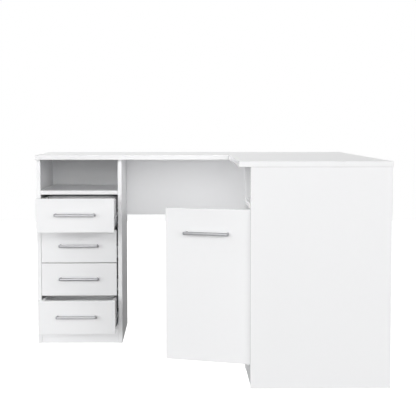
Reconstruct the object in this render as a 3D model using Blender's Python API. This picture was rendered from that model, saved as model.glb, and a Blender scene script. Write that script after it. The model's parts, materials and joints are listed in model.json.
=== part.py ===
"""L-shaped corner desk: two worktop boards on a four-drawer pedestal and a door cabinet.

Frame: metres, +Z up, floor at z = 0.  +X runs along the main worktop to the wing side and
+Y points to its back edge; the wing reaches towards -Y.  The origin is the centre of the
outline's bounding box on the floor.  Drawers 1 and 4 stand part open, and so does the door.
"""
import math

import bmesh
import bpy
from mathutils import Vector

# Whole desk
WIDTH = 1.262
DEPTH = 1.290
HEIGHT = 0.750
WORKTOP_DEPTH = 0.504
WORKTOP_THICKNESS = 0.018
BOARD = 0.016
HARDBOARD = 0.003
GAP = 0.0003

LEFT = -WIDTH / 2
RIGHT = WIDTH / 2
NEAR = -DEPTH / 2
FAR = DEPTH / 2
MAIN_FRONT = FAR - WORKTOP_DEPTH
WING_FRONT = RIGHT - WORKTOP_DEPTH
UNDERSIDE = HEIGHT - WORKTOP_THICKNESS
BOARD_TOP = UNDERSIDE - GAP

# Both cabinets
FRONT_OVERHANG = 0.036
CABINET_BACK_SETBACK = 0.003
BACK_PANEL_INSET = 0.006
SHELF_TOP = 0.6095
FLOOR_BOARD_TOP = 0.0745
PLINTH_TOP = FLOOR_BOARD_TOP - BOARD - GAP

# Pedestal, whose fronts face -Y
PEDESTAL_LEFT = LEFT + 0.0005
PEDESTAL_WIDTH = 0.3360
PEDESTAL_RIGHT = PEDESTAL_LEFT + PEDESTAL_WIDTH
PEDESTAL_FRONT = MAIN_FRONT + FRONT_OVERHANG
PEDESTAL_BACK = FAR - CABINET_BACK_SETBACK
PEDESTAL_BAY_LEFT = PEDESTAL_LEFT + BOARD
PEDESTAL_BAY_RIGHT = PEDESTAL_RIGHT - BOARD
PEDESTAL_PLINTH_SETBACK = 0.003
PEDESTAL_BOTTOM_SETBACK = 0.018

# Wing cabinet, whose door faces -X
WING_CABINET_WIDTH = 0.334
WING_CABINET_FRONT = WING_FRONT + 0.038
WING_CABINET_BACK = RIGHT - 0.002
WING_BAY_NEAR = NEAR + BOARD
WING_CABINET_FAR = NEAR + WING_CABINET_WIDTH
WING_BAY_FAR = WING_CABINET_FAR - BOARD
WING_PLINTH_SETBACK = 0.003
CUPBOARD_SHELF_TOP = 0.338
CUPBOARD_SHELF_SETBACK = 0.040

# Panels that tie the two cabinets together
MODESTY_BOTTOM = 0.484
REAR_MODESTY_SETBACK = 0.390
WING_MODESTY_INSET = 0.060
CORNER_LEG_DEPTH = 0.300

# Worktop joint plates
PLATE_LENGTH = 0.080
PLATE_WIDTH = 0.036
PLATE_THICKNESS = 0.002
PLATE_HOLE_RADIUS = 0.0025
PLATE_HOLE_OFFSET = 0.028
PLATE_PLACES = {"left": 0.230, "right": 0.480}

# Drawers, numbered from the top
DRAWER_FRONT_HEIGHT = 0.1295
DRAWER_FRONT_BOTTOMS = {1: 0.4585, 2: 0.3232, 3: 0.1911, 4: 0.0596}
DRAWER_OPENINGS = {1: 0.170, 2: 0.0, 3: 0.0, 4: 0.130}
DRAWER_GAP_LEFT = 0.0010
DRAWER_GAP_RIGHT = 0.0056
DRAWER_BOX_LENGTH = 0.300
DRAWER_BOX_RISE = 0.0165
DRAWER_BOX_TOP_DROP = 0.0082
DRAWER_SIDE = 0.012
DRAWER_BOTTOM_RISE = 0.008
GROOVE_DEPTH = 0.005

# Drawer slides: a fixed runner, and a smaller rail nested in its mouth
SLIDE_WIDTH = 0.0065
SLIDE_LENGTH = 0.300
SLIDE_FRONT_SETBACK = 0.004
SLIDE_CENTRE_RISE = 0.0410
SLIDE_STEEL = 0.0010
RUNNER_HEIGHT = 0.045
RUNNER_DEPTH = 0.0052
RUNNER_LIP = 0.005
RAIL_HEIGHT = 0.033
RAIL_DEPTH = 0.0044
RAIL_LIP = 0.0035

# Bow handles
HANDLE_LENGTH = 0.160
HANDLE_PROJECTION = 0.028
HANDLE_HEIGHT = 0.011
HANDLE_THICKNESS = 0.006
HANDLE_BEND = 0.013
HANDLE_RISE = 0.003
HANDLE_SPLAY = 0.004
HANDLE_FOOT = 0.002

# Door and its two concealed hinges
DOOR_BOTTOM = 0.0773
DOOR_TOP = 0.5906
DOOR_GAP = 0.0015
DOOR_OPENING = math.radians(69.0)
DOOR_HANDLE_DROP = 0.082
HINGE_END_DISTANCE = 0.100
CUP_EDGE_DISTANCE = 0.0225
CUP_RADIUS = 0.0173
CUP_WALL = 0.001
CUP_DEPTH = 0.0115
CUP_RIM_RADIUS = 0.019
CUP_PLATE_LENGTH = 0.060
CUP_PLATE_WIDTH = 0.024
CUP_PLATE_THICKNESS = 0.0012
ARM_WIDTH = 0.012
MOUNT_PLATE_LENGTH = 0.050
MOUNT_PLATE_SPAN = (0.034, 0.070)
MOUNT_PLATE_THICKNESS = 0.0025
ROUND_STEPS = 48


def clear_scene():
    for item in list(bpy.data.objects):
        bpy.data.objects.remove(item, do_unlink=True)


def make_material(name, colour, roughness, metallic):
    material = bpy.data.materials.new(name)
    material.use_nodes = True
    shader = material.node_tree.nodes["Principled BSDF"]
    shader.inputs["Base Color"].default_value = (*colour, 1.0)
    shader.inputs["Roughness"].default_value = roughness
    shader.inputs["Metallic"].default_value = metallic
    return material


clear_scene()
WHITE = make_material("white_melamine", (0.86, 0.86, 0.855), 0.42, 0.0)
WHITE_BACKING = make_material("white_hardboard", (0.80, 0.80, 0.79), 0.55, 0.0)
SATIN_METAL = make_material("satin_nickel", (0.62, 0.62, 0.61), 0.34, 1.0)
ZINC = make_material("zinc_steel", (0.68, 0.69, 0.70), 0.32, 1.0)


def add_object(name, builder, material=None, parent=None):
    """Turn a bmesh into an object of its own, its faces pointing out."""
    bmesh.ops.recalc_face_normals(builder, faces=builder.faces)
    mesh = bpy.data.meshes.new(name)
    builder.to_mesh(mesh)
    builder.free()
    item = bpy.data.objects.new(name, mesh)
    bpy.context.collection.objects.link(item)
    if material:
        mesh.materials.append(material)
    if parent:
        item.parent = parent
    return item


def add_joint(name, location, turn=0.0):
    """An empty on a joint's axis, which carries the moving pieces."""
    empty = bpy.data.objects.new(name, None)
    empty.location = location
    empty.rotation_euler = (0.0, 0.0, turn)
    bpy.context.collection.objects.link(empty)
    return empty


def box_mesh(low, high):
    builder = bmesh.new()
    bmesh.ops.create_cube(builder, size=1.0)
    size = Vector(high) - Vector(low)
    centre = (Vector(high) + Vector(low)) / 2
    for vertex in builder.verts:
        vertex.co = Vector(a * b for a, b in zip(vertex.co, size)) + centre
    return builder


def board(name, x, y, z, material=WHITE, parent=None):
    """A flat board between pairs of x, y and z limits."""
    low, high = zip(x, y, z)
    return add_object(name, box_mesh(low, high), material, parent)


def extruded_mesh(outline, offset):
    """A prism: a flat outline of 3-D points pushed along an offset."""
    builder = bmesh.new()
    face = builder.faces.new([builder.verts.new(point) for point in outline])
    pushed = bmesh.ops.extrude_face_region(builder, geom=[face])
    verts = [item for item in pushed["geom"] if isinstance(item, bmesh.types.BMVert)]
    bmesh.ops.translate(builder, vec=offset, verts=verts)
    return builder


def cylinder_mesh(start, end, radius):
    """A round bar between two points."""
    builder = bmesh.new()
    start = Vector(start)
    axis = Vector(end) - start
    bmesh.ops.create_cone(
        builder, cap_ends=True, segments=ROUND_STEPS, radius1=radius, radius2=radius, depth=axis.length)
    turn = axis.to_track_quat("Z", "Y")
    for vertex in builder.verts:
        vertex.co = turn @ vertex.co + start + axis / 2
    return builder


def apply_tool(item, name, builder, operation):
    """Cut with, or join to, a hidden helper body that stays in place."""
    tool = add_object(name, builder, parent=item.parent)
    tool.hide_render = True
    tool.display_type = "WIRE"
    modifier = item.modifiers.new(name, "BOOLEAN")
    modifier.operation = operation
    modifier.solver = "EXACT"
    modifier.object = tool


def shade_round(item):
    item.data.shade_smooth()
    item.data.set_sharp_from_angle(angle=math.radians(35))


def build_worktops():
    board("main_top", (LEFT, RIGHT), (MAIN_FRONT, FAR), (UNDERSIDE, HEIGHT))
    board("wing_top", (WING_FRONT, RIGHT), (NEAR, MAIN_FRONT - GAP), (UNDERSIDE, HEIGHT))
    for side, x in PLATE_PLACES.items():
        build_joint_plate(side, x)


def build_joint_plate(side, x):
    """A flat steel strap under the seam between the two worktops."""
    strap = board(
        f"top_joint_plate_{side}",
        (x - PLATE_WIDTH / 2, x + PLATE_WIDTH / 2),
        (MAIN_FRONT - PLATE_LENGTH / 2, MAIN_FRONT + PLATE_LENGTH / 2),
        (BOARD_TOP - PLATE_THICKNESS, BOARD_TOP),
        ZINC)
    for number, sign in enumerate((-1, 1), start=1):
        y = MAIN_FRONT + sign * PLATE_HOLE_OFFSET
        hole = cylinder_mesh((x, y, BOARD_TOP - 0.01), (x, y, BOARD_TOP + 0.01), PLATE_HOLE_RADIUS)
        apply_tool(strap, f"cut_joint_plate_{side}_{number}", hole, "DIFFERENCE")


def build_tie_panels():
    """The two modesty panels and the leg panel that carries the corner."""
    rear_front = PEDESTAL_FRONT + REAR_MODESTY_SETBACK
    wing_back = WING_CABINET_BACK - WING_MODESTY_INSET
    leg_inside = WING_CABINET_BACK - BOARD
    board("rear_modesty_panel", (PEDESTAL_RIGHT + GAP, leg_inside - GAP),
          (rear_front, rear_front + BOARD), (MODESTY_BOTTOM, BOARD_TOP))
    board("wing_modesty_panel", (wing_back - BOARD, wing_back),
          (WING_CABINET_FAR + GAP, rear_front - GAP), (MODESTY_BOTTOM, BOARD_TOP))
    board("corner_leg_panel", (leg_inside, WING_CABINET_BACK),
          (PEDESTAL_BACK - CORNER_LEG_DEPTH, PEDESTAL_BACK), (0.0, BOARD_TOP))


def build_pedestal():
    back_face = PEDESTAL_BACK - BACK_PANEL_INSET
    inner_x = (PEDESTAL_BAY_LEFT + GAP, PEDESTAL_BAY_RIGHT - GAP)
    depth = (PEDESTAL_FRONT, PEDESTAL_BACK)
    plinth_front = PEDESTAL_FRONT + PEDESTAL_PLINTH_SETBACK
    bottom_front = PEDESTAL_FRONT + PEDESTAL_BOTTOM_SETBACK
    shelf_end = back_face - HARDBOARD - GAP
    board("pedestal_left_side", (PEDESTAL_LEFT, PEDESTAL_BAY_LEFT), depth, (0.0, BOARD_TOP))
    board("pedestal_right_side", (PEDESTAL_BAY_RIGHT, PEDESTAL_RIGHT), depth, (0.0, BOARD_TOP))
    board("pedestal_niche_shelf", inner_x, (PEDESTAL_FRONT, shelf_end), (SHELF_TOP - BOARD, SHELF_TOP))
    board("pedestal_bottom", inner_x, (bottom_front, shelf_end), (FLOOR_BOARD_TOP - BOARD, FLOOR_BOARD_TOP))
    board("pedestal_plinth", inner_x, (plinth_front, plinth_front + BOARD), (0.0, PLINTH_TOP))
    board("pedestal_back", inner_x, (back_face - HARDBOARD, back_face), (0.0, BOARD_TOP), WHITE_BACKING)


def build_wing_cabinet():
    back_face = WING_CABINET_BACK - BACK_PANEL_INSET
    inner_y = (WING_BAY_NEAR + GAP, WING_BAY_FAR - GAP)
    depth = (WING_CABINET_FRONT, WING_CABINET_BACK)
    set_back = WING_CABINET_FRONT + WING_PLINTH_SETBACK
    shelf_end = back_face - HARDBOARD - GAP
    cupboard_shelf_x = (WING_CABINET_FRONT + CUPBOARD_SHELF_SETBACK, shelf_end)
    board("wing_end_panel", depth, (NEAR, WING_BAY_NEAR), (0.0, BOARD_TOP))
    board("wing_inner_side", depth, (WING_BAY_FAR, WING_CABINET_FAR), (0.0, BOARD_TOP))
    board("wing_niche_shelf", (WING_CABINET_FRONT, shelf_end), inner_y, (SHELF_TOP - BOARD, SHELF_TOP))
    board("wing_cupboard_shelf", cupboard_shelf_x, inner_y, (CUPBOARD_SHELF_TOP - BOARD, CUPBOARD_SHELF_TOP))
    board("wing_bottom", (set_back, shelf_end), inner_y, (FLOOR_BOARD_TOP - BOARD, FLOOR_BOARD_TOP))
    board("wing_plinth", (set_back, set_back + BOARD), inner_y, (0.0, PLINTH_TOP))
    board("wing_back", (back_face - HARDBOARD, back_face), inner_y, (0.0, BOARD_TOP), WHITE_BACKING)


def handle_path():
    """Bow centre line as (along, out) pairs: up one splayed leg, round the bends, down the other."""
    reach = HANDLE_LENGTH / 2 - HANDLE_THICKNESS / 2
    out = HANDLE_PROJECTION - HANDLE_THICKNESS / 2
    radius = HANDLE_BEND - HANDLE_THICKNESS / 2
    steps = 6
    foot = reach - HANDLE_SPLAY
    half = [(foot, GAP), (foot, GAP + HANDLE_FOOT)]
    for step in range(steps + 1):
        angle = math.radians(90) * step / steps
        half.append((reach - radius + radius * math.cos(angle), out - radius + radius * math.sin(angle)))
    return half + [(-along, outward) for along, outward in reversed(half)]


def handle_section(corner=0.0022, steps=3):
    """Rounded rectangle as (across the bar, height) pairs."""
    points = []
    for quarter in range(4):
        turn = math.radians(90) * quarter
        centre_across = (HANDLE_THICKNESS / 2 - corner) * (1 if quarter in (0, 3) else -1)
        centre_high = (HANDLE_HEIGHT / 2 - corner) * (1 if quarter in (0, 1) else -1)
        for step in range(steps + 1):
            angle = turn + math.radians(90) * step / steps
            points.append((centre_across + corner * math.cos(angle), centre_high + corner * math.sin(angle)))
    return points


def handle_mesh(centre, along, outward):
    """A bar of constant section swept along the bow, standing on the plane through centre."""
    centre, along, outward = Vector(centre), Vector(along), Vector(outward)
    up = Vector((0.0, 0.0, 1.0))
    path = [along * a + outward * b for a, b in handle_path()]
    builder = bmesh.new()
    rings = []
    for index, point in enumerate(path):
        before = path[max(index - 1, 0)]
        after = path[min(index + 1, len(path) - 1)]
        across = (after - before).cross(up).normalized()
        ring = [builder.verts.new(centre + point + across * a + up * h) for a, h in handle_section()]
        rings.append(ring)
    for ring, following in zip(rings, rings[1:]):
        for index in range(len(ring)):
            after = (index + 1) % len(ring)
            builder.faces.new((ring[index], ring[after], following[after], following[index]))
    builder.faces.new(rings[0])
    builder.faces.new(rings[-1])
    return builder


def channel_outline(web, mouth, height, lip):
    """A C-shaped steel section as (x, z) pairs about its middle line."""
    inward = math.copysign(SLIDE_STEEL, mouth - web)
    outer = height / 2
    inner = outer - SLIDE_STEEL
    lip_end = outer - lip
    lower = [(web, -outer), (mouth, -outer), (mouth, -lip_end), (mouth - inward, -lip_end),
             (mouth - inward, -inner), (web + inward, -inner)]
    return lower + [(x, -z) for x, z in reversed(lower)]


def channel(name, outline, height, y, parent=None):
    points = [(x, y, height + z) for x, z in outline]
    add_object(name, extruded_mesh(points, (0.0, SLIDE_LENGTH, 0.0)), ZINC, parent)


def build_slides(number, joint, box_left, box_right):
    """Each side: a fixed runner on the cabinet and a smaller rail on the drawer, nested."""
    height = DRAWER_FRONT_BOTTOMS[number] + SLIDE_CENTRE_RISE
    setback = BOARD + SLIDE_FRONT_SETBACK
    for side, wall, box_side, sign in (
            ("left", PEDESTAL_BAY_LEFT, box_left, 1),
            ("right", PEDESTAL_BAY_RIGHT, box_right, -1)):
        web = wall + sign * GAP
        outline = channel_outline(web, web + sign * RUNNER_DEPTH, RUNNER_HEIGHT, RUNNER_LIP)
        channel(f"drawer_{number}_runner_{side}", outline, height, PEDESTAL_FRONT + setback)
        web = box_side - sign * GAP
        outline = channel_outline(web, web - sign * RAIL_DEPTH, RAIL_HEIGHT, RAIL_LIP)
        channel(f"drawer_{number}_rail_{side}", outline, height - joint.location.z, setback, joint)


def drawer_wrap_mesh(left, right, low, high):
    """Two sides and a back folded from one board, open towards the front."""
    front = BOARD + GAP
    back = front + DRAWER_BOX_LENGTH
    outline = [
        (left, front), (left, back), (right, back), (right, front),
        (right - DRAWER_SIDE, front), (right - DRAWER_SIDE, back - DRAWER_SIDE),
        (left + DRAWER_SIDE, back - DRAWER_SIDE), (left + DRAWER_SIDE, front)]
    return extruded_mesh([(x, y, low) for x, y in outline], (0.0, 0.0, high - low))


def build_drawer(number):
    """One drawer around its joint, which lies in the middle of its front face."""
    left = PEDESTAL_BAY_LEFT + DRAWER_GAP_LEFT
    right = PEDESTAL_BAY_RIGHT - DRAWER_GAP_RIGHT
    bottom = DRAWER_FRONT_BOTTOMS[number]
    half_width = (right - left) / 2
    half_height = DRAWER_FRONT_HEIGHT / 2
    centre_x = (left + right) / 2
    joint = add_joint(
        f"joint_drawer_{number}",
        (centre_x, PEDESTAL_FRONT - DRAWER_OPENINGS[number], bottom + half_height))
    board(f"drawer_{number}_front", (-half_width, half_width), (0.0, BOARD),
          (-half_height, half_height), parent=joint)
    bow = handle_mesh((0.0, 0.0, HANDLE_RISE), (1.0, 0.0, 0.0), (0.0, -1.0, 0.0))
    shade_round(add_object(f"drawer_{number}_handle", bow, SATIN_METAL, joint))

    box_left = PEDESTAL_BAY_LEFT + SLIDE_WIDTH - centre_x
    box_right = PEDESTAL_BAY_RIGHT - SLIDE_WIDTH - centre_x
    low = -half_height + DRAWER_BOX_RISE
    high = half_height - DRAWER_BOX_TOP_DROP
    wrap = add_object(
        f"drawer_{number}_box", drawer_wrap_mesh(box_left, box_right, low, high), WHITE, joint)
    panel_x = (box_left + DRAWER_SIDE - GROOVE_DEPTH, box_right - DRAWER_SIDE + GROOVE_DEPTH)
    panel_y = (BOARD + GAP, BOARD + GAP + DRAWER_BOX_LENGTH - DRAWER_SIDE + GROOVE_DEPTH)
    panel_z = (low + DRAWER_BOTTOM_RISE, low + DRAWER_BOTTOM_RISE + HARDBOARD)
    board(f"drawer_{number}_bottom", panel_x, panel_y, panel_z, WHITE_BACKING, joint)
    groove = box_mesh(
        (panel_x[0] - GAP, panel_y[0] - BOARD, panel_z[0] - GAP),
        (panel_x[1] + GAP, panel_y[1] + GAP, panel_z[1] + GAP))
    apply_tool(wrap, f"cut_drawer_{number}_groove", groove, "DIFFERENCE")
    build_slides(number, joint, box_left, box_right)


def build_hinge(place, height, joint, door):
    """A cup let into the door, and the arm on the end panel that reaches to its mouth."""
    centre_y = CUP_EDGE_DISTANCE
    inner_face = BOARD
    cup_floor = inner_face - CUP_DEPTH
    plate_top = inner_face + GAP + CUP_PLATE_THICKNESS

    def across_door(start, end, radius):
        return cylinder_mesh((start, centre_y, height), (end, centre_y, height), radius)

    apply_tool(door, f"cut_cup_bore_{place}",
               across_door(cup_floor - GAP, inner_face + 0.01, CUP_RADIUS + GAP), "DIFFERENCE")
    wings = box_mesh(
        (inner_face + GAP, centre_y - CUP_PLATE_WIDTH / 2, height - CUP_PLATE_LENGTH / 2),
        (plate_top, centre_y + CUP_PLATE_WIDTH / 2, height + CUP_PLATE_LENGTH / 2))
    cup = add_object(f"door_hinge_{place}_cup", wings, ZINC, joint)
    apply_tool(cup, f"join_cup_rim_{place}", across_door(inner_face + GAP, plate_top, CUP_RIM_RADIUS), "UNION")
    apply_tool(cup, f"join_cup_shell_{place}", across_door(cup_floor, plate_top, CUP_RADIUS), "UNION")
    apply_tool(cup, f"cut_cup_hollow_{place}",
               across_door(cup_floor + CUP_WALL, plate_top + 0.01, CUP_RADIUS - CUP_WALL), "DIFFERENCE")


def build_hinge_arm(place, height, pivot):
    """The crank runs back from the pivot along the end panel; points are (into cabinet, off panel)."""
    crank = [(0.0750, 0.0015), (0.0750, 0.0110), (0.0300, 0.0150), (0.0200, 0.0215), (0.0135, 0.0215),
             (0.0118, 0.0190), (0.0125, 0.0165), (0.0160, 0.0130), (0.0215, 0.0060), (0.0300, 0.0015)]
    outline = [(pivot.x + x, pivot.y + y, height - ARM_WIDTH / 2) for x, y in crank]
    arm = add_object(
        f"door_hinge_{place}_arm", extruded_mesh(outline, (0.0, 0.0, ARM_WIDTH)), ZINC)
    plate = box_mesh(
        (pivot.x + MOUNT_PLATE_SPAN[0], WING_BAY_NEAR + GAP, height - MOUNT_PLATE_LENGTH / 2),
        (pivot.x + MOUNT_PLATE_SPAN[1], pivot.y + MOUNT_PLATE_THICKNESS, height + MOUNT_PLATE_LENGTH / 2))
    apply_tool(arm, f"join_mount_plate_{place}", plate, "UNION")


def build_door():
    """The door around its joint, the outer corner of its hinge edge; local +Y runs across it."""
    joint = add_joint("joint_door", (WING_CABINET_FRONT, WING_BAY_NEAR + DOOR_GAP, 0.0), DOOR_OPENING)
    width = WING_BAY_FAR - WING_BAY_NEAR - 2 * DOOR_GAP
    door = board("door_panel", (0.0, BOARD), (0.0, width), (DOOR_BOTTOM, DOOR_TOP), parent=joint)
    bow = handle_mesh((0.0, width / 2, DOOR_TOP - DOOR_HANDLE_DROP), (0.0, 1.0, 0.0), (-1.0, 0.0, 0.0))
    shade_round(add_object("door_handle", bow, SATIN_METAL, joint))
    for place, height in (("upper", DOOR_TOP - HINGE_END_DISTANCE), ("lower", DOOR_BOTTOM + HINGE_END_DISTANCE)):
        build_hinge(place, height, joint, door)
        build_hinge_arm(place, height, joint.location)


build_worktops()
build_tie_panels()
build_pedestal()
for drawer in DRAWER_FRONT_BOTTOMS:
    build_drawer(drawer)
build_wing_cabinet()
build_door()
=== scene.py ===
"""Looks for the L-shaped corner desk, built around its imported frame.

Metres, +Z up.  The boards stay as the frame's own nodes with finer edges and a laminate
finish; handles, slides, hinges, joint plates and fixings are modelled here.
"""
import json
import math

import bmesh
import bpy
from mathutils import Matrix, Vector


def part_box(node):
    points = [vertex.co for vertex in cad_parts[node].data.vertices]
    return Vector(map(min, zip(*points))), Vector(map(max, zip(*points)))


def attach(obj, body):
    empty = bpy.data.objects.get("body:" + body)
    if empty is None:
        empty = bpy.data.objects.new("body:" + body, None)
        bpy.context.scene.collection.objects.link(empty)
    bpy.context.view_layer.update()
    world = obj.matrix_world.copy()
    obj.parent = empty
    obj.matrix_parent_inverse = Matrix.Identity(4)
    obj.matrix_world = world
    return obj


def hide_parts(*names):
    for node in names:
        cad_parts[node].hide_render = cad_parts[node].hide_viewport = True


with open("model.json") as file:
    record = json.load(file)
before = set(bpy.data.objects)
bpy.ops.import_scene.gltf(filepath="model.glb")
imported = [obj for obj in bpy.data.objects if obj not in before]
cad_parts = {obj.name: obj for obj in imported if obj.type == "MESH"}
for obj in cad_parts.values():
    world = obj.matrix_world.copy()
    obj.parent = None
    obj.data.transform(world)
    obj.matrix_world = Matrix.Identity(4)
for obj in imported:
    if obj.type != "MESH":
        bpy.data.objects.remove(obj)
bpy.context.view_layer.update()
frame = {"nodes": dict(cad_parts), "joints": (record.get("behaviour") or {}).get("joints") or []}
NODES = frame["nodes"]
JOINTS = {joint["name"]: joint for joint in frame["joints"]}

IN_PLACE = Matrix.Identity(4)

# Camera
CAMERA_PLACE = (-0.0698, -4.4215, 0.8695)
CAMERA_PITCH_DOWN = math.radians(4.104)
CAMERA_YAW_RIGHT = math.radians(1.449)
CAMERA_LENS = 100.66
CAMERA_SENSOR = 36.0
CAMERA_REACH = 60.0

# How far open the door stands in the frame
DOOR_ANGLE = math.radians(69.0)


# ---------------------------------------------------------------- node helpers
class Graph:
    """Short calls for building a node tree."""

    def __init__(self, tree):
        self.tree = tree

    def add(self, kind, inputs=None, **settings):
        item = self.tree.nodes.new(kind)
        for name, value in settings.items():
            setattr(item, name, value)
        for name, value in (inputs or {}).items():
            self.feed(item.inputs[name], value)
        return item

    def feed(self, socket, value):
        if isinstance(value, bpy.types.NodeSocket):
            self.tree.links.new(value, socket)
        else:
            socket.default_value = value

    def maths(self, operation, first, second=0.0):
        return self.add("ShaderNodeMath", {0: first, 1: second}, operation=operation).outputs[0]

    def linear(self, value, scale, offset):
        """value * scale + offset."""
        return self.maths("ADD", self.maths("MULTIPLY", value, scale), offset)

    def vector(self, operation, first, second=(0.0, 0.0, 0.0)):
        return self.add("ShaderNodeVectorMath", {0: first, 1: second}, operation=operation).outputs[0]

    def ramp(self, value, low, high, to_low=0.0, to_high=1.0):
        """A smooth step from to_low to to_high as value goes from low to high."""
        inputs = {"Value": value, "From Min": low, "From Max": high, "To Min": to_low, "To Max": to_high}
        return self.add("ShaderNodeMapRange", inputs, interpolation_type="SMOOTHSTEP").outputs[0]

    def noise(self, place, scale, detail=2.0):
        inputs = {"Vector": place, "Scale": scale, "Detail": detail, "Roughness": 0.5}
        return self.add("ShaderNodeTexNoise", inputs).outputs["Fac"]

    def mix_colour(self, factor, first, second):
        item = self.add("ShaderNodeMix", data_type="RGBA")
        self.feed(item.inputs[0], factor)
        self.feed(item.inputs[6], first)
        self.feed(item.inputs[7], second)
        return item.outputs[2]

    def shaded(self, colour, shade):
        """A colour times a shade factor."""
        return self.add("ShaderNodeVectorMath", {0: colour, "Scale": shade}, operation="SCALE").outputs[0]


def new_material(name):
    material = bpy.data.materials.new(name)
    material.use_nodes = True
    tree = material.node_tree
    return material, Graph(tree), tree.nodes["Principled BSDF"]


def object_place(graph):
    return graph.add("ShaderNodeTexCoord").outputs["Object"]


def set_surface(graph, shader, colour, rough, relief, strength, distance):
    """Feed a shader its colour and roughness, and a bump made from a relief."""
    bump = graph.add("ShaderNodeBump", {"Strength": strength, "Distance": distance, "Height": relief})
    graph.feed(shader.inputs["Base Color"], colour)
    graph.feed(shader.inputs["Roughness"], rough)
    graph.feed(shader.inputs["Normal"], bump.outputs[0])


# ---------------------------------------------------------------- materials
# Noise scales are in features per metre.
LAMINATE_COLOUR = (0.915, 0.917, 0.925, 1.0)
BAND_COLOUR = (0.93, 0.931, 0.937, 1.0)
BAND_THICKNESS = 0.0009
BAND_STEP = 0.0001
GLUE_LINE_REACH = 0.00018
GLUE_LINE_DARKENING = 0.16
OUT_OF_REACH = 1.0
CLOUD_SCALE = 2.3
PEARL_SCALE = 260.0
GRAIN_SCALE = 1150.0
HARDBOARD_COLOUR = (0.885, 0.887, 0.895)


def border_distance(graph, place, low, high, banded):
    """How far inside a board a point lies from the nearest face across a banded axis."""
    half = (high - low) / 2
    for axis in range(3):
        if axis not in banded:
            half[axis] += OUT_OF_REACH
    from_middle = graph.vector("ABSOLUTE", graph.vector("SUBTRACT", place, tuple((low + high) / 2)))
    inside = graph.add("ShaderNodeSeparateXYZ", {0: graph.vector("SUBTRACT", tuple(half), from_middle)})
    nearest = graph.maths("MINIMUM", inside.outputs[0], inside.outputs[1])
    return graph.maths("MINIMUM", nearest, inside.outputs[2])


def laminate_material(name, low, high, turn, banded):
    """White laminate for one board: fine pearl grain, a plastic edge band and its glue line."""
    material, graph, shader = new_material(name)
    place = object_place(graph)
    if turn:
        place = graph.add(
            "ShaderNodeVectorRotate", {"Vector": place, "Angle": -turn}, rotation_type="Z_AXIS").outputs[0]
    nearest = border_distance(graph, place, low, high, banded)
    band = graph.ramp(nearest, BAND_THICKNESS, BAND_THICKNESS + BAND_STEP, 1.0, 0.0)
    from_line = graph.maths("ABSOLUTE", graph.maths("SUBTRACT", nearest, BAND_THICKNESS + BAND_STEP / 2))
    glue_line = graph.ramp(from_line, 0.0, GLUE_LINE_REACH, 1.0, 0.0)

    cloud = graph.noise(place, CLOUD_SCALE, 3.0)
    grain = graph.noise(place, GRAIN_SCALE, 2.0)
    pearl = graph.noise(place, PEARL_SCALE, 3.0)
    shade = graph.maths("ADD", graph.maths("MULTIPLY", cloud, 0.012), graph.maths("MULTIPLY", pearl, 0.010))
    shade = graph.maths("ADD", shade, 0.989)
    shade = graph.maths("SUBTRACT", shade, graph.maths("MULTIPLY", glue_line, GLUE_LINE_DARKENING))
    colour = graph.shaded(graph.mix_colour(band, LAMINATE_COLOUR, BAND_COLOUR), shade)
    rough = graph.maths("SUBTRACT", graph.linear(pearl, 0.04, 0.27), graph.maths("MULTIPLY", band, 0.05))
    relief = graph.maths("ADD", graph.maths("MULTIPLY", grain, 0.6), graph.maths("MULTIPLY", pearl, 0.4))
    relief = graph.maths("SUBTRACT", relief, graph.maths("MULTIPLY", glue_line, 1.2))
    set_surface(graph, shader, colour, rough, relief, 0.03, 0.0002)
    return material


def hardboard_material(name):
    """White-faced hardboard: a little greyer and flatter than the boards, with a pressed grain."""
    material, graph, shader = new_material(name)
    place = object_place(graph)
    cloud = graph.noise(place, 4.0, 4.0)
    pressed = graph.noise(place, 620.0, 3.0)
    shade = graph.maths("ADD", graph.linear(cloud, 0.03, 0.975), graph.maths("MULTIPLY", pressed, 0.012))
    rough = graph.linear(pressed, 0.12, 0.34)
    set_surface(graph, shader, graph.shaded(HARDBOARD_COLOUR, shade), rough, pressed, 0.25, 0.0003)
    return material


def metal_material(name, colour, rough, scratch_scale, scratch_depth):
    """Metal with a fine surface: tiny scratches and uneven gloss."""
    material, graph, shader = new_material(name)
    place = object_place(graph)
    scratch = graph.noise(graph.vector("MULTIPLY", place, scratch_scale), 1.0, 3.0)
    cloud = graph.noise(place, 60.0, 2.0)
    shader.inputs["Metallic"].default_value = 1.0
    wobble = graph.maths("ADD", graph.maths("MULTIPLY", cloud, 0.10), graph.maths("MULTIPLY", scratch, 0.08))
    shade = graph.linear(scratch, 0.08, 0.96)
    uneven = graph.maths("ADD", wobble, rough - 0.09)
    set_surface(graph, shader, graph.shaded(colour, shade), uneven, scratch, scratch_depth, 0.0001)
    return material


def plastic_material(name, colour):
    """Moulded plastic: a fine spark-eroded grain and a low, uneven gloss."""
    material, graph, shader = new_material(name)
    grain = graph.noise(object_place(graph), 2400.0, 2.0)
    shade = graph.linear(grain, 0.3, 0.85)
    rough = graph.linear(grain, 0.15, 0.40)
    set_surface(graph, shader, graph.shaded(colour, shade), rough, grain, 0.3, 0.0001)
    return material


HARDBOARD = hardboard_material("white_hardboard_faced")
BLACK_PLASTIC = plastic_material("black_moulded_plastic", (0.018, 0.018, 0.020))
NICKEL = metal_material("satin_nickel_brushed", (0.475, 0.474, 0.490), 0.45, (90.0, 90.0, 2600.0), 0.10)
ZINC = metal_material("zinc_plated_steel", (0.62, 0.63, 0.645), 0.34, (900.0, 40.0, 900.0), 0.12)


# ---------------------------------------------------------------- boards
EDGE_ROUND = 0.0008
THIN_EDGE_ROUND = 0.0003
WELD_DISTANCE = 0.00002
FLAT_ANGLE = math.radians(1.0)
SHARP_ANGLE = math.radians(40.0)
METAL_WORDS = ("handle", "rail", "runner", "hinge", "plate")
CABINET_FLOORS = ("pedestal_bottom", "wing_bottom")
UPRIGHT = 2


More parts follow.
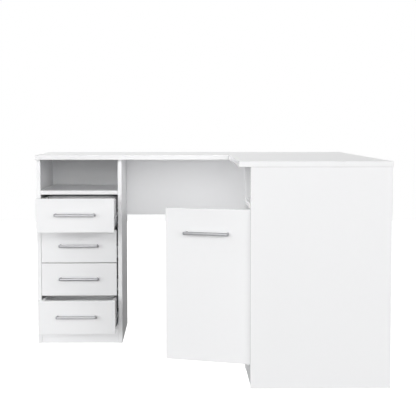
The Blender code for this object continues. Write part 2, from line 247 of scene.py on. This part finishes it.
def refine_board(name, material, radius):
    """Give a frame node its finish, and round its edges with modifiers."""
    item = NODES[name]
    item.data.materials.clear()
    item.data.materials.append(material)
    weld = item.modifiers.new("weld", "WELD")
    weld.merge_threshold = WELD_DISTANCE
    flat = item.modifiers.new("flat", "DECIMATE")
    flat.decimate_type = "DISSOLVE"
    flat.angle_limit = FLAT_ANGLE
    bevel = item.modifiers.new("round", "BEVEL")
    bevel.width = radius
    bevel.segments = 2
    bevel.limit_method = "ANGLE"
    bevel.angle_limit = SHARP_ANGLE


def turned_box(name, turn):
    """The box of a node after turning it back by an angle about +Z."""
    back = Matrix.Rotation(-turn, 3, "Z")
    points = [back @ vertex.co for vertex in NODES[name].data.vertices]
    low = Vector(min(point[axis] for point in points) for axis in range(3))
    high = Vector(max(point[axis] for point in points) for axis in range(3))
    return low, high


def is_hardboard(name):
    """Back panels and drawer bottoms are hardboard; the cabinets' floors are full boards."""
    return name.endswith(("_back", "_bottom")) and name not in CABINET_FLOORS


def banded_axes(name, size):
    """A board's edge bands run round its thinnest axis; a drawer box shows them on its rims only."""
    if name.endswith("_box"):
        return [UPRIGHT]
    thin = min(range(3), key=lambda axis: size[axis])
    return [axis for axis in range(3) if axis != thin]


def finish_boards():
    """Give every board its finish; the metal nodes are replaced by pieces of their own."""
    for name in NODES:
        if any(word in name for word in METAL_WORDS):
            continue
        if is_hardboard(name):
            refine_board(name, HARDBOARD, THIN_EDGE_ROUND)
            continue
        turn = DOOR_ANGLE if name == "door_panel" else 0.0
        low, high = turned_box(name, turn)
        banded = banded_axes(name, high - low)
        refine_board(name, laminate_material(f"laminate_{name}", low, high, turn, banded), EDGE_ROUND)


# ---------------------------------------------------------------- mesh helpers
def to_mesh(builder):
    bmesh.ops.recalc_face_normals(builder, faces=builder.faces)
    mesh = bpy.data.meshes.new("shape")
    builder.to_mesh(mesh)
    builder.free()
    return mesh


def loft(rings):
    """Skin equal rings of points into one closed body with flat ends."""
    builder = bmesh.new()
    loops = [[builder.verts.new(point) for point in ring] for ring in rings]
    for ring, following in zip(loops, loops[1:]):
        for index in range(len(ring)):
            after = (index + 1) % len(ring)
            builder.faces.new((ring[index], ring[after], following[after], following[index]))
    builder.faces.new(loops[0])
    builder.faces.new(loops[-1])
    return builder


def prism(outline, offset):
    """A flat outline of 3-D points pushed along an offset."""
    return to_mesh(loft([outline, [Vector(point) + Vector(offset) for point in outline]]))


def lathe(profile, steps=32):
    """Revolve (radius, height) pairs about +Z; it starts and ends on the axis."""
    builder = bmesh.new()
    rings = []
    for radius, height in profile:
        if radius == 0.0:
            rings.append([builder.verts.new((0.0, 0.0, height))])
            continue
        angles = [math.tau * step / steps for step in range(steps)]
        rings.append([
            builder.verts.new((radius * math.cos(angle), radius * math.sin(angle), height))
            for angle in angles])
    for ring, following in zip(rings, rings[1:]):
        for index in range(steps):
            after = (index + 1) % steps
            corners = [ring[index % len(ring)], ring[after % len(ring)],
                       following[after % len(following)], following[index % len(following)]]
            builder.faces.new(list(dict.fromkeys(corners)))
    return to_mesh(builder)


def at(where, normal=(0.0, 0.0, 1.0), scale=1.0):
    """Turns a shape's +Z to a normal, and moves its origin to a place."""
    turn = Vector(normal).to_track_quat("Z", "Y").to_matrix().to_4x4()
    return Matrix.Translation(where) @ turn @ Matrix.Scale(scale, 4)


def stamped(copies):
    """One mesh from (mesh, matrix) pairs."""
    builder = bmesh.new()
    for mesh, matrix in copies:
        start = len(builder.verts)
        builder.from_mesh(mesh)
        builder.verts.ensure_lookup_table()
        bmesh.ops.transform(builder, matrix=matrix, verts=builder.verts[start:])
    return to_mesh(builder)


def cut(base, tool):
    """One mesh with another taken out of it."""
    objects = [bpy.data.objects.new("work", mesh) for mesh in (base, tool)]
    for item in objects:
        bpy.context.collection.objects.link(item)
    modifier = objects[0].modifiers.new("tool", "BOOLEAN")
    modifier.operation = "DIFFERENCE"
    modifier.solver = "EXACT"
    modifier.object = objects[1]
    graph = bpy.context.evaluated_depsgraph_get()
    result = bpy.data.meshes.new_from_object(objects[0].evaluated_get(graph))
    for item in objects:
        bpy.data.objects.remove(item)
    return result


def rod(radius, half_length):
    """A round pin along Z, with its middle at the origin."""
    profile = [(0.0, -half_length), (radius, -half_length), (radius, half_length), (0.0, half_length)]
    return lathe(profile, 16)


def add_piece(name, mesh, material, body, replaced=(), smooth=35.0):
    """Make a mesh a piece that rides on a body and stands for some frame nodes."""
    mesh.name = name
    mesh.materials.clear()
    mesh.materials.append(material)
    mesh.shade_smooth()
    mesh.set_sharp_from_angle(angle=math.radians(smooth))
    item = bpy.data.objects.new(name, mesh)
    bpy.context.collection.objects.link(item)
    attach(item, body)
    if replaced:
        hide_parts(*replaced)


def rounded_path(points, radius, steps=4):
    """An open 2-D path whose inner corners become arcs."""
    points = [Vector(point) for point in points]
    path = [points[0]]
    for before, corner, after in zip(points, points[1:], points[2:]):
        start = corner + (before - corner).normalized() * radius
        end = corner + (after - corner).normalized() * radius
        for step in range(steps + 1):
            t = step / steps
            path.append(start * (1 - t) ** 2 + corner * 2 * t * (1 - t) + end * t ** 2)
    return path + [points[-1]]


def strip_outline(path, thickness):
    """The outline of a strip of sheet that follows a 2-D path."""
    left, right = [], []
    for index, point in enumerate(path):
        before = path[max(index - 1, 0)]
        after = path[min(index + 1, len(path) - 1)]
        along = (after - before).normalized()
        across = Vector((-along.y, along.x)) * thickness / 2
        left.append(point + across)
        right.append(point - across)
    return left + right[::-1]


def rounded_box_outline(half_u, half_v, corner, steps=4):
    """Corner points of a rounded rectangle about the origin."""
    outline = []
    for quarter, (sign_u, sign_v) in enumerate(((1, 1), (-1, 1), (-1, -1), (1, -1))):
        for step in range(steps + 1):
            angle = math.radians(90.0) * (quarter + step / steps)
            outline.append((sign_u * (half_u - corner) + corner * math.cos(angle),
                            sign_v * (half_v - corner) + corner * math.sin(angle)))
    return outline


# ---------------------------------------------------------------- screws
def screw_head(profile, recess_floor, recess_top):
    """A lathed head of radius 1 with a cross recess."""
    arm, half = 0.55, 0.11
    cross = [(half, half), (arm, half), (arm, -half), (half, -half), (half, -arm), (-half, -arm),
             (-half, -half), (-arm, -half), (-arm, half), (-half, half), (-half, arm), (half, arm)]
    cutter = prism([(x, y, recess_floor) for x, y in cross], (0.0, 0.0, recess_top - recess_floor))
    return cut(lathe(profile, 24), cutter)


PAN_HEAD = screw_head(
    [(0.0, 0.0), (1.0, 0.0), (1.0, 0.18), (0.93, 0.34), (0.75, 0.47), (0.45, 0.55), (0.0, 0.58)], 0.2, 0.9)
FLAT_HEAD = screw_head([(0.0, 0.0), (1.0, 0.0), (0.98, 0.10), (0.90, 0.16), (0.0, 0.18)], 0.03, 0.4)
WASHER = lathe([(0.0, 0.0), (1.0, 0.0), (1.0, 0.10), (0.94, 0.16), (0.0, 0.16)], 28)


# ---------------------------------------------------------------- handles
HANDLE_BAR = 0.0065
HANDLE_CORNER = 0.0028
HANDLE_CROWN = 0.0008
HANDLE_BEND = 0.0090
HANDLE_SPLAY = 0.0040
HANDLE_FOOT = 0.0015
HANDLE_GAP = 0.0001
HANDLE_SCREW_RADIUS = 0.0040
HANDLE_WASHER_RADIUS = 0.0060
HANDLE_WASHER_TOP = 0.0009
HANDLE_SMOOTH = 50.0


def handle_section(height):
    """(outward, up) pairs: a bar with a crowned face and rounded edges."""
    outline = rounded_box_outline(HANDLE_BAR / 2, height / 2, HANDLE_CORNER, 5)
    bulged = []
    for outward, up in outline:
        crown = HANDLE_CROWN * (1.0 - (2.0 * up / height) ** 2)
        bulged.append((outward + (crown if outward > 0 else 0.0) - HANDLE_CROWN / 2, up))
    return bulged


def bow_mesh(base, length, reach, height):
    """A bow handle on the plane z = base of a frame whose +X is its length and +Z points out."""
    end = length / 2 - HANDLE_BAR / 2
    top = base + reach - HANDLE_BAR / 2
    foot = end - HANDLE_SPLAY
    arch = [(foot, base), (end, top), (-end, top), (-foot, base)]
    path = rounded_path(arch, HANDLE_BEND - HANDLE_BAR / 2, 10)
    path.insert(1, path[0] + Vector((0.0, HANDLE_FOOT)))
    path.insert(-1, path[-1] + Vector((0.0, HANDLE_FOOT)))
    section = handle_section(height)
    rings = []
    for index, point in enumerate(path):
        before = path[max(index - 1, 0)]
        after = path[min(index + 1, len(path) - 1)]
        along = (after - before).normalized()
        outward = Vector((along.y, -along.x))
        rings.append([
            (point.x + outward.x * out, up, point.y + outward.y * out) for out, up in section])
    return to_mesh(loft(rings))


def build_handle(name, node, panel, body, turn, along_axis):
    """Replace a handle node; its screws show on the panel's inner face."""
    low, high = turned_box(node, turn)
    panel_low, panel_high = turned_box(panel, turn)
    middle = (low + high) / 2
    out_axis = 1 - along_axis
    reach = panel_low[out_axis] - low[out_axis]
    length = high[along_axis] - low[along_axis]
    base = middle.copy()
    base[out_axis] = panel_low[out_axis]
    inner = middle.copy()
    inner[out_axis] = panel_high[out_axis]
    outward = Vector((0.0, 0.0, 0.0))
    outward[out_axis] = -1.0
    along = Vector((0.0, 0.0, 0.0))
    along[along_axis] = 1.0
    up = outward.cross(along)
    frame_turn = Matrix((along, up, outward)).transposed().to_4x4()
    spin = Matrix.Rotation(turn, 4, "Z")
    bow = bow_mesh(HANDLE_GAP, length, reach - HANDLE_GAP, high.z - low.z)
    bow.transform(spin @ Matrix.Translation(base) @ frame_turn)
    add_piece(f"{name}_bow_handle", bow, NICKEL, body, (node,), HANDLE_SMOOTH)
    copies = []
    for sign in (-1, 1):
        foot = inner + along * sign * (length / 2 - HANDLE_BAR / 2 - HANDLE_SPLAY)
        copies.append((WASHER, spin @ at(foot, -outward, HANDLE_WASHER_RADIUS)))
        head = foot - outward * HANDLE_WASHER_TOP
        copies.append((PAN_HEAD, spin @ at(head, -outward, HANDLE_SCREW_RADIUS)))
    add_piece(f"{name}_handle_screws", stamped(copies), ZINC, body)


# ---------------------------------------------------------------- drawer slides
SLIDE_SHEET = 0.0010
RUNNER_PATH = [(0.0047, 0.0178), (0.0047, 0.0220), (0.0005, 0.0220)]
RAIL_PATH = [(0.0039, 0.0132), (0.0039, 0.0160), (0.0005, 0.0160)]
RUNNER_BEND = 0.0014
RAIL_BEND = 0.0012
SLIDE_HOLES = (0.033, 0.097, 0.150, 0.203, 0.267)
SCREWED_HOLES = (0, 2, 4)
SLIDE_SCREW_RADIUS = 0.0034
HOLE_RADIUS = 0.0021
HOLE_CORNER = 0.00209
SLOT_HALF_LENGTH = 0.0048
STOP_SIZE = (0.0044, 0.0110, 0.0150)
STOP_CORNER = 0.0025
STOP_LEAD = 0.003
STOP_RISE = 0.0302


def mirrored(half_path):
    """A path above the middle line and its mirror image below it."""
    return half_path + [(u, -v) for u, v in reversed(half_path)]


def channel(web_x, sign, middle_z, start, length, half_path, sheet, bend):
    """A pressed channel along +Y, whose web stands at web_x and whose mouth is on the sign side."""
    outline = strip_outline(rounded_path(mirrored(half_path), bend), sheet)
    return prism([(web_x + sign * u, start, middle_z + v) for u, v in outline], (0.0, length, 0.0))


def slide_slots(web_x, start, middle_z):
    """Cutters for round holes and short slots in a slide's web."""
    copies = []
    for index, place in enumerate(SLIDE_HOLES):
        half_length = HOLE_RADIUS if index in SCREWED_HOLES else SLOT_HALF_LENGTH
        outline = rounded_box_outline(half_length, HOLE_RADIUS, HOLE_CORNER, 5)
        points = [(web_x - 0.002, start + place + u, middle_z + v) for u, v in outline]
        copies.append((prism(points, (0.004, 0.0, 0.0)), IN_PLACE))
    return stamped(copies)


def build_channel(node, body, side, half_path, bend, on_drawer):
    """Replace a runner or a rail by a pressed channel with slots and screws."""
    low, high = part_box(node)
    middle_z = (low.z + high.z) / 2
    at_low = (side == "left") != on_drawer
    web = low.x if at_low else high.x
    sign = 1 if at_low else -1
    shape = channel(web, sign, middle_z, low.y, high.y - low.y, half_path, SLIDE_SHEET, bend)
    shape = cut(shape, slide_slots(web, low.y, middle_z))
    copies = [(shape, IN_PLACE)]
    for index in SCREWED_HOLES:
        place = (web + sign * SLIDE_SHEET, low.y + SLIDE_HOLES[index], middle_z)
        copies.append((FLAT_HEAD, at(place, (sign, 0, 0), SLIDE_SCREW_RADIUS)))
    add_piece(f"{node}_channel", stamped(copies), ZINC, body, (node,))


def build_slide_stops(number, side):
    """Black plastic stops on the cabinet side, above a runner's mouth and below it where there is room."""
    low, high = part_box(f"drawer_{number}_runner_{side}")
    middle_z = (low.z + high.z) / 2
    deep, long, tall = STOP_SIZE
    start = low.x if side == "left" else high.x - deep
    middle_y = low.y + long / 2 - STOP_LEAD
    outline = rounded_box_outline(long / 2, tall / 2, STOP_CORNER, 4)
    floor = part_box("pedestal_bottom")[1].z
    copies = []
    for level in (-1, 1):
        centre_z = middle_z + level * STOP_RISE
        if centre_z - tall / 2 < floor:
            continue
        points = [(start, middle_y + u, centre_z + v) for u, v in outline]
        copies.append((prism(points, (deep, 0.0, 0.0)), IN_PLACE))
    add_piece(f"drawer_{number}_slide_stops_{side}", stamped(copies), BLACK_PLASTIC, "carcass")


def build_slide(number, side):
    build_channel(f"drawer_{number}_runner_{side}", "carcass", side, RUNNER_PATH, RUNNER_BEND, False)
    build_channel(f"drawer_{number}_rail_{side}", f"drawer_{number}", side, RAIL_PATH, RAIL_BEND, True)
    build_slide_stops(number, side)


# ---------------------------------------------------------------- hinges
# Places marked "shut" are (x, y) from the hinge line with the door shut; the others are
# (x, y) from the hinge line as the door stands in the frame.
LINK_HALF_WIDTH = 0.0014
LINK_SHEET = 0.0010
LINK_PIN_RADIUS = 0.0009
RIVET_RADIUS = 0.0011
CUP_LINKS_SHUT = ((0.0100, 0.0165), (0.02225, 0.0010))
CUP_LINK_GAP = 0.0130
ARM_LINKS = ((0.0150, 0.0185), (0.0075, 0.0205))
ARM_LINK_GAP = 0.0090

CUP_SHEET = 0.0010
CUP_HOLE_RADIUS = 0.0168
FLANGE_BASE = -0.0011
FLANGE_HALF_SIZE = (0.0115, 0.0300)
FLANGE_CORNER = 0.0090
FLANGE_SCREW_PLACE = 0.0240
FLANGE_SCREW_RADIUS = 0.0036
CUP_PIN_RADIUS = 0.0011
CUP_PIN_HALF_LENGTH = 0.0125
CUP_PIN_PLACE = (-0.0085, 0.0, -0.0045)

CRANK_OUTLINE = (
    (0.0750, 0.0016), (0.0750, 0.0106), (0.0300, 0.0146), (0.0205, 0.0211), (0.0137, 0.0211),
    (0.0120, 0.0188), (0.0127, 0.0167), (0.0163, 0.0132), (0.0218, 0.0062), (0.0300, 0.0016))
CRANK_HOLLOW = (
    (0.0760, 0.0), (0.0760, 0.0095), (0.0298, 0.0134), (0.0200, 0.0199), (0.0150, 0.0199),
    (0.0150, 0.0170), (0.0175, 0.0138), (0.0225, 0.0070), (0.0305, 0.0))
CRANK_HALF_WIDTH = 0.0060
HOLLOW_HALF_WIDTH = 0.0050
CRANK_PIN_RADIUS = 0.0013
CRANK_PIN_HALF_LENGTH = 0.0062
CRANK_SCREWS = ((0.0420, 0.0136), (0.0620, 0.0118))
CRANK_SCREW_RADIUS = 0.0036
CRANK_SLOPE = (0.09, 1, 0)
PLATE_MIDDLE = 0.0520
PLATE_HALF_LENGTH = 0.0175
PLATE_CORNER = 0.0080
PLATE_SHEET = 0.0020
PLATE_SCREW_RISE = 0.0165
PLATE_SCREW_RADIUS = 0.0038
RIB_START, RIB_END = 0.0360, 0.0730
RIB_START_TOP, RIB_END_TOP = 0.0110, 0.0085
RIB_HALF_WIDTH = 0.0048


def link_pair(ends, gap, pinned):
    """Two round-ended link plates, half of a gap either side of z = 0, on pins or with end rivets."""
    start, end = Vector(ends[0]), Vector(ends[1])
    along = (end - start).normalized()
    across = Vector((-along.y, along.x))
    outline = []
    for centre, sign in ((end, 1), (start, -1)):
        for step in range(9):
            angle = math.radians(-90.0 + 22.5 * step)
            outward = along * math.cos(angle) + across * math.sin(angle)
            outline.append(centre + outward * sign * LINK_HALF_WIDTH)
    copies = []
    for side in (-1, 1):
        level = side * (gap / 2 + LINK_SHEET / 2) - LINK_SHEET / 2
        copies.append((prism([(x, y, level) for x, y in outline], (0.0, 0.0, LINK_SHEET)), IN_PLACE))
    if pinned:
        pin = rod(LINK_PIN_RADIUS, gap / 2 + LINK_SHEET * 1.5)
        copies += [(pin, Matrix.Translation((x, y, 0.0))) for x, y in (start, end)]
    else:
        for side in (-1, 1):
            place = (end.x, end.y, side * (gap / 2 + LINK_SHEET - 0.0001))
            copies.append((WASHER, at(place, (0, 0, side), RIVET_RADIUS)))
    return stamped(copies)


def cup_profile(depth):
    """(radius, height) pairs of a pressed cup with its rim at height 0 and its underside at -depth."""
    outside = [(0.0, -depth), (0.0150, -depth), (0.0165, -depth + 0.0006), (0.0173, -depth + 0.002)]
    rim = [(0.0173, -0.0011), (0.0190, -0.0011), (0.0190, -0.0003), (0.0186, 0.0), (0.0170, 0.0)]
    inside = [
        (0.0163, -0.0006), (0.0163, -depth + 0.0028), (0.0156, -depth + 0.0012),
        (0.0, -depth + CUP_SHEET)]
    return outside + rim + inside


def cup_parts(depth):
    """(mesh, matrix) pairs of a cup, its flange, its screws and one pin, about the middle of its mouth."""
    outline = rounded_box_outline(*FLANGE_HALF_SIZE, FLANGE_CORNER, 6)
    flange = prism([(u, v, FLANGE_BASE) for u, v in outline], (0.0, 0.0, CUP_SHEET))
    hole = lathe([(0.0, -0.01), (CUP_HOLE_RADIUS, -0.01), (CUP_HOLE_RADIUS, 0.01), (0.0, 0.01)], 48)
    parts = [(lathe(cup_profile(depth), 48), IN_PLACE), (cut(flange, hole), IN_PLACE)]
    for sign in (-1, 1):
        place = (0.0, sign * FLANGE_SCREW_PLACE, -0.0001)
        parts.append((PAN_HEAD, at(place, (0, 0, 1), FLANGE_SCREW_RADIUS)))
    parts.append((rod(CUP_PIN_RADIUS, CUP_PIN_HALF_LENGTH), at(CUP_PIN_PLACE, (0, 1, 0))))
    return parts


def build_hinge_cup(place):
    """The cup and its flange on the door, and the links that reach out of it; gives the hinge line."""
    node = f"door_hinge_{place}_cup"
    low, high = turned_box(node, DOOR_ANGLE)
    centre = Vector((high.x, (low.y + high.y) / 2, (low.z + high.z) / 2))
    facing = Matrix(((0, 0, 1), (1, 0, 0), (0, 1, 0))).to_4x4()
    spin = Matrix.Rotation(DOOR_ANGLE, 4, "Z")
    move = spin @ Matrix.Translation(centre) @ facing
    pivot = Vector(JOINTS["door_hinge"]["pos_m"])
    hinge_line = Matrix.Translation((pivot.x, pivot.y, centre.z))
    shapes = [(mesh, move @ matrix) for mesh, matrix in cup_parts(high.x - low.x)]
    link_start = Matrix.Translation((*CUP_LINKS_SHUT[0], 0.0))
    shapes.append((rod(CUP_PIN_RADIUS, CUP_PIN_HALF_LENGTH), hinge_line @ spin @ link_start))
    shapes.append((link_pair(CUP_LINKS_SHUT, CUP_LINK_GAP, False), hinge_line @ spin))
    add_piece(f"{node}_pressed", stamped(shapes), ZINC, "door", (node,))
    return hinge_line


def crank_mesh(pivot, middle_z):
    """The cranked arm: a pressed channel that is hollow on the cabinet side."""
    outside = [(pivot.x + u, pivot.y + v, middle_z - CRANK_HALF_WIDTH) for u, v in CRANK_OUTLINE]
    hollow = [(pivot.x + u, pivot.y + v, middle_z - HOLLOW_HALF_WIDTH) for u, v in CRANK_HOLLOW]
    return cut(prism(outside, (0, 0, CRANK_HALF_WIDTH * 2)), prism(hollow, (0, 0, HOLLOW_HALF_WIDTH * 2)))


def rib_mesh(pivot, base_y, middle_z):
    """The rib of the mounting plate that carries the arm."""
    corners = ((RIB_START, base_y), (RIB_END, base_y),
               (RIB_END, pivot.y + RIB_END_TOP), (RIB_START, pivot.y + RIB_START_TOP))
    points = [(pivot.x + u, y, middle_z - RIB_HALF_WIDTH) for u, y in corners]
    return prism(points, (0, 0, RIB_HALF_WIDTH * 2))


def build_hinge_arm(place, hinge_line):
    """The cranked arm, its mounting plate and screws on the end panel, and the arm's links."""
    node = f"door_hinge_{place}_arm"
    pivot = Vector(JOINTS["door_hinge"]["pos_m"])
    low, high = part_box(node)
    middle_z = (low.z + high.z) / 2
    outline = rounded_box_outline(PLATE_HALF_LENGTH, (high.z - low.z) / 2, PLATE_CORNER, 6)
    plate_x, plate_y = pivot.x + PLATE_MIDDLE, low.y + 0.0001
    plate = prism([(plate_x + u, plate_y, middle_z + v) for u, v in outline], (0.0, PLATE_SHEET, 0.0))
    rib = rib_mesh(pivot, low.y + PLATE_SHEET, middle_z)
    copies = [(crank_mesh(pivot, middle_z), IN_PLACE), (plate, IN_PLACE), (rib, IN_PLACE)]
    for sign in (-1, 1):
        where = (plate_x, plate_y + PLATE_SHEET, middle_z + sign * PLATE_SCREW_RISE)
        copies.append((PAN_HEAD, at(where, (0, 1, 0), PLATE_SCREW_RADIUS)))
    for u, v in CRANK_SCREWS:
        where = (pivot.x + u, pivot.y + v - 0.0004, middle_z)
        copies.append((PAN_HEAD, at(where, CRANK_SLOPE, CRANK_SCREW_RADIUS)))
    tip_u, tip_v = ARM_LINKS[0]
    tip_pin = rod(CRANK_PIN_RADIUS, CRANK_PIN_HALF_LENGTH)
    copies.append((tip_pin, at((pivot.x + tip_u, pivot.y + tip_v, middle_z))))
    copies.append((link_pair(ARM_LINKS, ARM_LINK_GAP, True), hinge_line))
    add_piece(f"{node}_pressed", stamped(copies), ZINC, "carcass", (node,))


def build_hinge(place):
    """A cup hinge: the cup on the door and the arm on the end panel."""
    hinge_line = build_hinge_cup(place)
    build_hinge_arm(place, hinge_line)


# ---------------------------------------------------------------- fixings
STRAP_CORNER = 0.006
STRAP_SCREWS = (-0.030, -0.014, 0.014, 0.030)
STRAP_SCREW_RADIUS = 0.0042
SHELF_PIN_PROFILE = [
    (0.0, 0.0), (0.0036, 0.0), (0.0036, 0.0010), (0.0024, 0.0012),
    (0.0024, 0.0075), (0.0019, 0.0082), (0.0, 0.0082)]
SHELF_PIN_INSET = 0.045
SHELF_PIN_DROP = 0.0037


def build_joint_plate(side):
    """A rounded steel strap with its four screws, under the worktop seam."""
    node = f"top_joint_plate_{side}"
    low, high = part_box(node)
    centre = (low + high) / 2
    outline = rounded_box_outline((high.x - low.x) / 2, (high.y - low.y) / 2, STRAP_CORNER, 5)
    strap = prism([(centre.x + u, centre.y + v, low.z) for u, v in outline], (0, 0, high.z - low.z))
    copies = [(strap, IN_PLACE)]
    for offset in STRAP_SCREWS:
        copies.append((FLAT_HEAD, at((centre.x, centre.y + offset, low.z), (0, 0, -1), STRAP_SCREW_RADIUS)))
    add_piece(f"{node}_strap", stamped(copies), ZINC, "carcass", (node,))


def build_shelf_pins():
    """Four steel pins under the cupboard shelf."""
    shelf_low, shelf_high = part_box("wing_cupboard_shelf")
    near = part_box("wing_end_panel")[1].y
    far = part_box("wing_inner_side")[0].y
    pin = lathe(SHELF_PIN_PROFILE, 24)
    copies = []
    for x in (shelf_low.x + SHELF_PIN_INSET, shelf_high.x - SHELF_PIN_INSET):
        for y, facing in ((near, 1), (far, -1)):
            copies.append((pin, at((x, y, shelf_low.z - SHELF_PIN_DROP), (0, facing, 0))))
    add_piece("cupboard_shelf_pins", stamped(copies), ZINC, "carcass")


# ---------------------------------------------------------------- camera, light and stage
def make_camera():
    camera = bpy.data.objects.new("camera", bpy.data.cameras.new("camera"))
    camera.data.lens = CAMERA_LENS
    camera.data.sensor_width = CAMERA_SENSOR
    camera.data.clip_end = CAMERA_REACH
    camera.location = CAMERA_PLACE
    camera.rotation_euler = (math.radians(90.0) - CAMERA_PITCH_DOWN, 0.0, -CAMERA_YAW_RIGHT)
    bpy.context.collection.objects.link(camera)
    bpy.context.scene.camera = camera


WHITE = (1.0, 1.0, 1.0, 1.0)
FLOOR_COLOUR = (0.9, 0.9, 0.9, 1.0)
FLOOR_HALF_SIZE = 6.0
FLOOR_DROP = 0.0005

# Soft lights round the desk, each at (azimuth from the front, elevation) in degrees: three even
# steps across the front, a quarter ring at the left and rear, and the floor's bounce from below
FRONT_LIGHTS = ((-30, 10), (0, 10), (30, 10))
RING_LIGHTS = ((-90, 30), (-135, 30), (180, 30))
FLOOR_BOUNCE = ((0, -90),)
BROAD, NARROW = 8, 40
# each group's lights, how sharply they fall off and their radiance
LIGHT_GROUPS = (
    (FRONT_LIGHTS, NARROW, 6.0),
    (RING_LIGHTS, BROAD, 1.5),
    (FLOOR_BOUNCE, BROAD, 3.0),
)


def light_level(graph, direction, place, sharpness, radiance):
    """One soft light's radiance in a direction: a smooth bump about the light's own place."""
    turn, rise = math.radians(place[0]), math.radians(place[1])
    towards = (math.sin(turn) * math.cos(rise), -math.cos(turn) * math.cos(rise), math.sin(rise))
    facing = graph.add(
        "ShaderNodeVectorMath", {0: direction, 1: towards}, operation="DOT_PRODUCT").outputs["Value"]
    bump = graph.maths("EXPONENT", graph.maths("MULTIPLY", graph.maths("SUBTRACT", facing, 1.0), sharpness))
    return graph.maths("MULTIPLY", bump, radiance)


def make_world():
    """White behind the desk for the camera, and soft studio lights for everything else."""
    world = bpy.data.worlds.new("studio")
    bpy.context.scene.world = world
    world.use_nodes = True
    graph = Graph(world.node_tree)
    direction = graph.vector("NORMALIZE", graph.add("ShaderNodeTexCoord").outputs["Generated"])
    level = 0.0
    for places, sharpness, radiance in LIGHT_GROUPS:
        for place in places:
            level = graph.maths("ADD", level, light_level(graph, direction, place, sharpness, radiance))
    lights = graph.add("ShaderNodeBackground", {"Color": WHITE, "Strength": level})
    white = graph.add("ShaderNodeBackground", {"Color": WHITE, "Strength": 1.0})
    seen = graph.add("ShaderNodeLightPath").outputs["Is Camera Ray"]
    mixed = graph.add("ShaderNodeMixShader", {0: seen, 1: lights.outputs[0], 2: white.outputs[0]})
    graph.feed(world.node_tree.nodes["World Output"].inputs["Surface"], mixed.outputs[0])


def make_floor():
    """A plain white floor that only the camera sees."""
    builder = bmesh.new()
    bmesh.ops.create_grid(builder, x_segments=8, y_segments=8, size=FLOOR_HALF_SIZE)
    mesh = bpy.data.meshes.new("floor")
    builder.to_mesh(mesh)
    builder.free()
    floor = bpy.data.objects.new("floor", mesh)
    floor.location = (0.0, 0.0, -FLOOR_DROP)
    bpy.context.collection.objects.link(floor)
    material, _, shader = new_material("floor_white")
    shader.inputs["Base Color"].default_value = FLOOR_COLOUR
    shader.inputs["Emission Color"].default_value = WHITE
    shader.inputs["Emission Strength"].default_value = 1.0
    mesh.materials.append(material)
    floor.visible_diffuse = False
    floor.visible_glossy = False
    floor.visible_shadow = False


def make_view():
    scene = bpy.context.scene
    scene.view_settings.view_transform = "Standard"
    scene.view_settings.look = "None"
    scene.view_settings.exposure = 0.0
    scene.view_settings.gamma = 1.0


make_camera()
make_world()
make_floor()
make_view()
finish_boards()

for drawer in (1, 2, 3, 4):
    name = f"drawer_{drawer}"
    build_handle(name, f"{name}_handle", f"{name}_front", name, 0.0, 0)
    for side in ("left", "right"):
        build_slide(drawer, side)
build_handle("door", "door_handle", "door_panel", "door", DOOR_ANGLE, 1)
for place in ("upper", "lower"):
    build_hinge(place)
for side in ("left", "right"):
    build_joint_plate(side)
build_shelf_pins()
